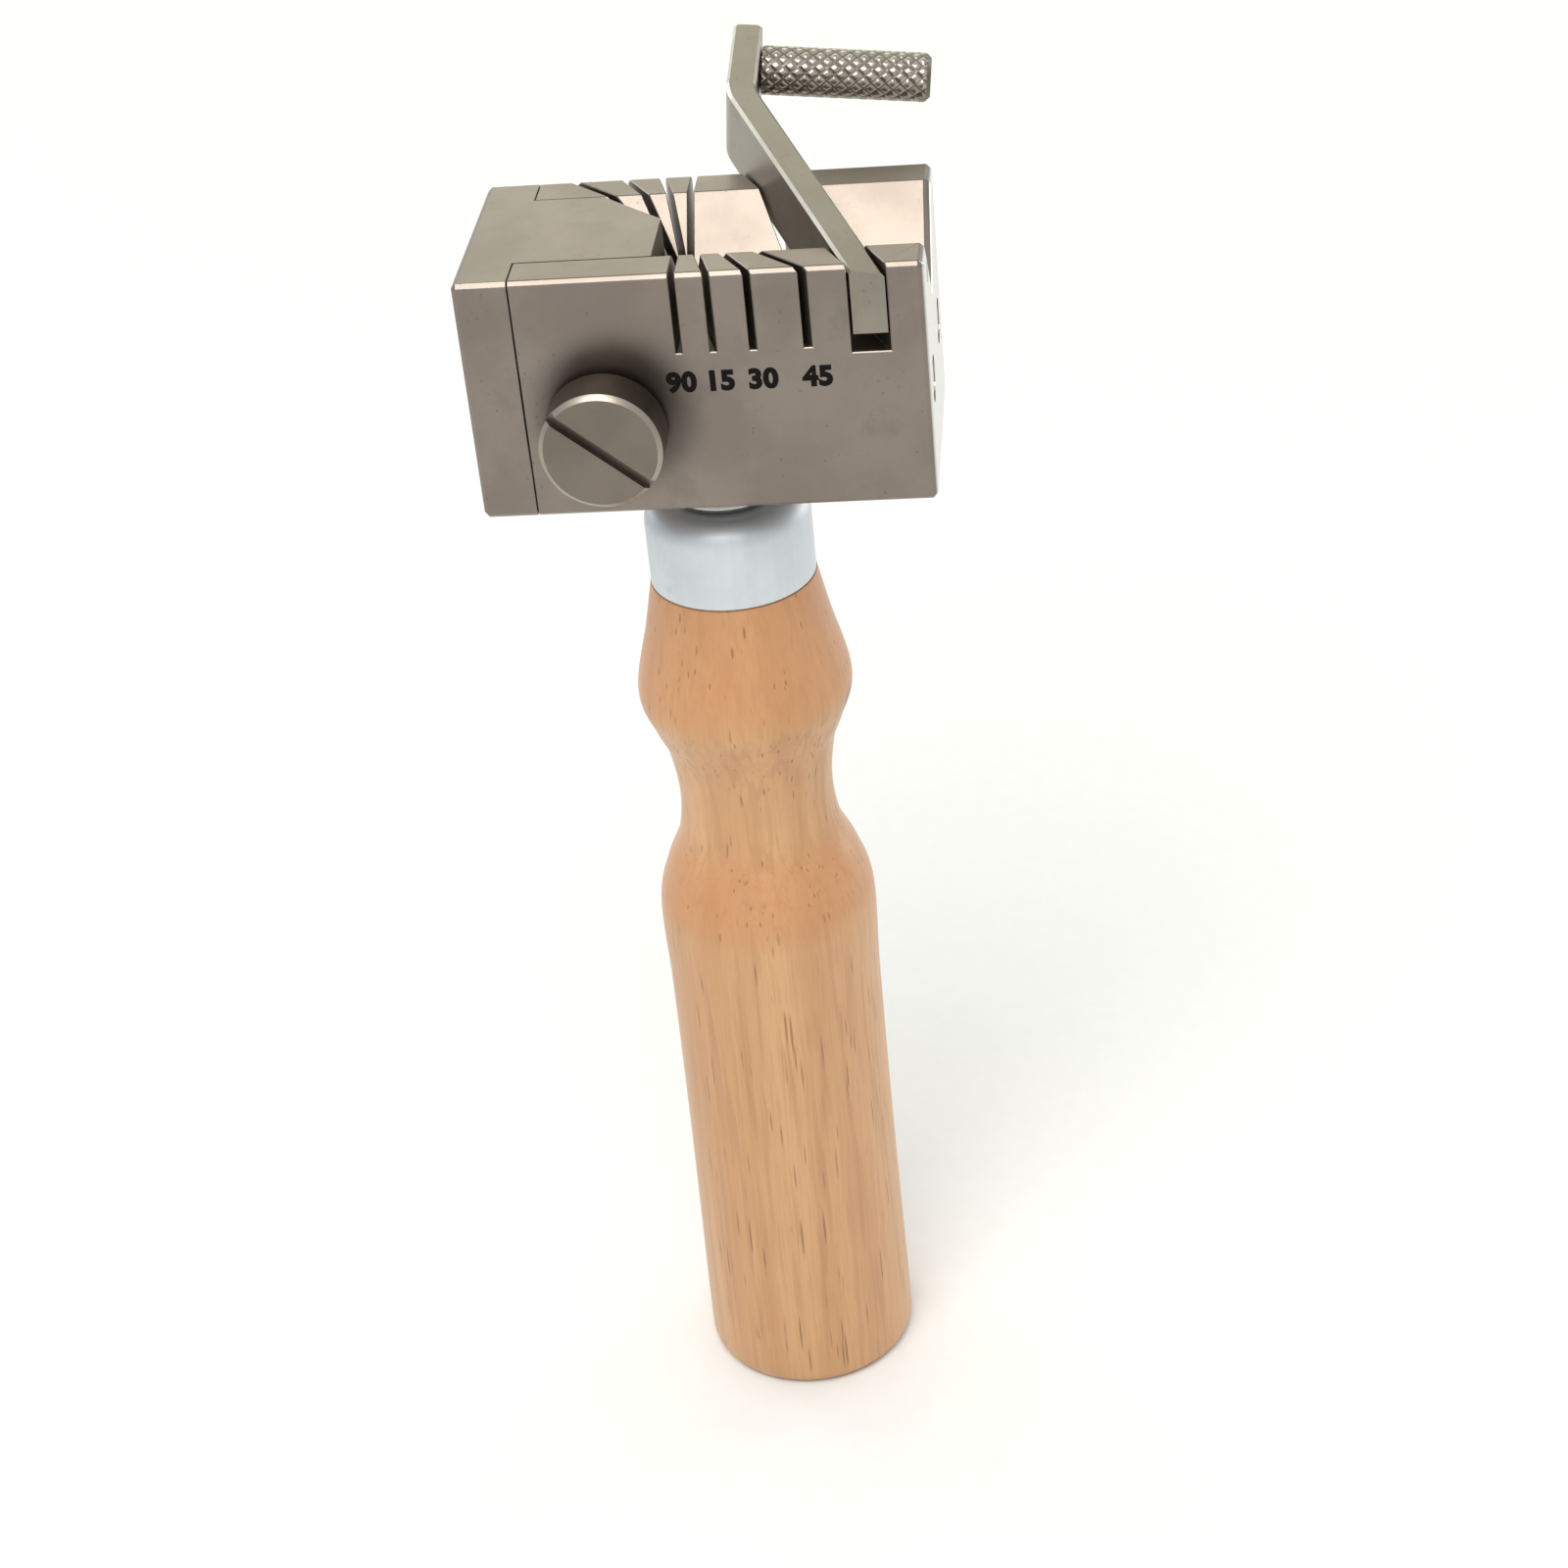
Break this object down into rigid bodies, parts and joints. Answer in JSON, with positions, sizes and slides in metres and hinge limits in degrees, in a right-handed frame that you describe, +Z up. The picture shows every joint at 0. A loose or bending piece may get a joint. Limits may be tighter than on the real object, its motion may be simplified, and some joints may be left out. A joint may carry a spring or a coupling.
{
  "type": "tube and wire cutting jig",
  "caption": "Hand-held jeweller's cutting jig: V-groove steel block with angled saw-guide slots, sliding length stop, lock screw and clamp lever on a turned wooden handle.",
  "frame": {"origin": "centre of the handle's flat butt, on the surface the tool stands on", "axes": "+Z up along the handle to the block, +X along the V-groove from the stop's cap to the clamp lever's end, -Y out of the numbered face with the lock screw"},
  "size_m": [0.0451, 0.0473, 0.1524],
  "materials": {
    "block_steel": "satin, fine blasted grain with bright chamfers",
    "ground_steel": "ground",
    "screw_steel": "satin turned",
    "lever_steel": "satin nickel plate",
    "knurled_nickel": "knurled, nickel plated",
    "pad_brass": "turned",
    "ferrule_plate": "satin zinc plate",
    "handle_beech": "clear satin varnish"
  },
  "bodies": {
    "jig": {"jig_body": "block_steel", "lever_pivot_pin": "ground_steel", "tang_stud": "ground_steel", "ferrule": "ferrule_plate", "handle": "handle_beech"},
    "stop": {"slide_stop": "block_steel", "guide_rod_front": "ground_steel", "guide_rod_back": "ground_steel"},
    "screw_feed": {"lock_pad": "pad_brass"},
    "screw": {"lock_screw": "screw_steel"},
    "lever": {"clamp_lever": "lever_steel", "thumb_pin": "knurled_nickel"}
  },
  "joints": [
    {"name": "stop_slide", "type": "slide", "parent": "jig", "child": "stop", "axis": [-1, 0, 0], "range_m": [0, 0.028]},
    {"name": "lever_hinge", "type": "hinge", "parent": "jig", "child": "lever", "pos_m": [0.01586, -0.00979, 0.1385], "axis": [0.9026, 0.4305, 0], "range_deg": [-17.5, 190]},
    {"name": "screw_turn", "type": "hinge", "parent": "screw_feed", "child": "screw", "pos_m": [-0.0091, -0.0129, 0.1266], "axis": [0, -1, 0], "range_deg": [0, 360]},
    {"name": "screw_travel", "type": "slide", "parent": "jig", "child": "screw_feed", "axis": [0, -1, 0], "range_m": [0, 0.0008]}
  ],
  "couplings": [
    {"joint": "screw_travel", "follows": "screw_turn", "m_per_rad": 0.00012732}
  ]
}
